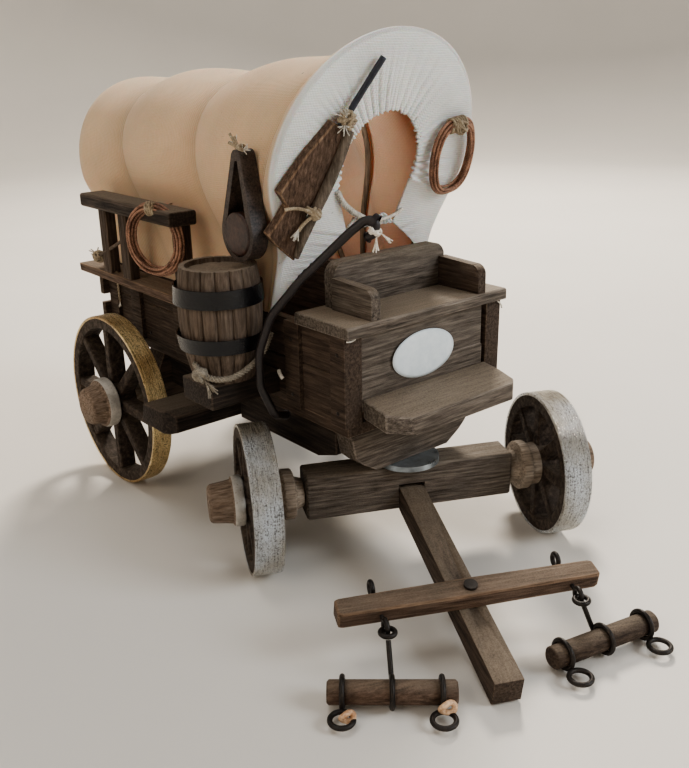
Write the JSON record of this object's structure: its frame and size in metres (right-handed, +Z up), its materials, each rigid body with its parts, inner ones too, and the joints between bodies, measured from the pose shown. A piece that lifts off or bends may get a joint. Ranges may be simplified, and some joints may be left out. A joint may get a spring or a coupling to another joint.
{
  "type": "covered wagon model",
  "caption": "Small wooden model of a covered wagon with a cloth top, steered front axle, turning spoked wheels, tongue and singletrees.",
  "frame": {"origin": "centre of the bounding box in plan, on the floor under the wheels", "axes": "+Z up, -Y the way the wagon faces, +X to its left-hand side"},
  "size_m": [0.1585, 0.2843, 0.1877],
  "materials": {
    "dark_wood": "dark brown stain, dusty and worn pale at the edges",
    "worn_wood": "brown stain, grain showing",
    "raw_wood": "pale turned wood, unfinished",
    "tyre_foil": "ribbed bright metal foil",
    "black_iron": "satin black",
    "iron_wire": "dull dark wire",
    "cloth": "plain woven cotton, yellowed",
    "strap_bark": "dark speckled",
    "lariat_cord": "reddish brown twisted cord"
  },
  "bodies": {
    "wagon": {"barrel": "worn_wood", "barrel_bands": "black_iron", "barrel_shelf": "dark_wood", "bed_floor": "dark_wood", "bed_sills": "dark_wood", "bows": "raw_wood", "brake_beam": "dark_wood", "brake_lever": "dark_wood", "canteen": "dark_wood", "canteen_strap": "strap_bark", "cover": "cloth", "footboard": "dark_wood", "front_bolster": "dark_wood", "front_panel": "dark_wood", "lariat_front": "lariat_cord", "lariat_rear": "lariat_cord", "rack_board": "dark_wood", "rack_posts": "dark_wood", "reach_pole": "dark_wood", "rear_axle": "dark_wood", "rifle_barrel": "black_iron", "rifle_stock": "dark_wood", "seat_arm_left": "dark_wood", "seat_arm_right": "dark_wood", "seat_back": "dark_wood", "seat_plank": "dark_wood", "side_left": "dark_wood", "side_right": "dark_wood", "tailboard": "dark_wood", "top_rail_left": "dark_wood", "top_rail_right": "dark_wood", "turntable": "black_iron"},
    "front_axle": {"axle_beam": "dark_wood", "axle_strap": "black_iron", "tongue_nail": "iron_wire"},
    "tongue": {"tongue": "worn_wood", "evener_nail": "iron_wire"},
    "evener": {"evener": "worn_wood", "evener_irons": "iron_wire"},
    "singletree_right": {"singletree_right": "worn_wood", "singletree_irons_right": "iron_wire"},
    "singletree_left": {"singletree_left": "worn_wood", "singletree_irons_left": "iron_wire"},
    "wheel_front_right": {"wheel_front_right": "dark_wood", "hub_front_right": "raw_wood", "tyre_front_right": "tyre_foil"},
    "wheel_front_left": {"wheel_front_left": "dark_wood", "hub_front_left": "raw_wood", "tyre_front_left": "tyre_foil"},
    "wheel_rear_right": {"wheel_rear_right": "dark_wood", "hub_rear_right": "raw_wood", "tyre_rear_right": "tyre_foil"},
    "wheel_rear_left": {"wheel_rear_left": "dark_wood", "hub_rear_left": "raw_wood", "tyre_rear_left": "tyre_foil"}
  },
  "joints": [
    {"name": "steering", "type": "hinge", "parent": "wagon", "child": "front_axle", "pos_m": [0.0092, -0.036, 0.036], "axis": [0, 0, 1], "range_deg": [-3.8, 56.2]},
    {"name": "tongue_lift", "type": "hinge", "parent": "front_axle", "child": "tongue", "pos_m": [0.00743, -0.03959, 0.0231], "axis": [-0.8973, 0.4415, 0], "range_deg": [0, 24]},
    {"name": "evener_swing", "type": "hinge", "parent": "tongue", "child": "evener", "pos_m": [-0.01939, -0.09411, 0.01599], "axis": [-0.0848, -0.1724, 0.9814], "range_deg": [-8, 8]},
    {"name": "singletree_right_swing", "type": "hinge", "parent": "evener", "child": "singletree_right", "pos_m": [-0.0511, -0.0906, 0.01672], "axis": [0, 0, 1], "range_deg": [-10, 10]},
    {"name": "singletree_left_swing", "type": "hinge", "parent": "evener", "child": "singletree_left", "pos_m": [0.00588, -0.11863, 0.01672], "axis": [0, 0, 1], "range_deg": [-10, 10]},
    {"name": "wheel_front_right_spin", "type": "hinge", "parent": "front_axle", "child": "wheel_front_right", "pos_m": [-0.04194, -0.01083, 0.0277], "axis": [0.8973, -0.4415, 0], "continuous": true},
    {"name": "wheel_rear_right_spin", "type": "hinge", "parent": "wagon", "child": "wheel_rear_right", "pos_m": [-0.04345, 0.0923, 0.0377], "axis": [1, 0, 0], "continuous": true},
    {"name": "wheel_front_left_spin", "type": "hinge", "parent": "front_axle", "child": "wheel_front_left", "pos_m": [0.06034, -0.06117, 0.0277], "axis": [0.8973, -0.4415, 0], "continuous": true},
    {"name": "wheel_rear_left_spin", "type": "hinge", "parent": "wagon", "child": "wheel_rear_left", "pos_m": [0.06185, 0.0923, 0.0377], "axis": [1, 0, 0], "continuous": true}
  ]
}
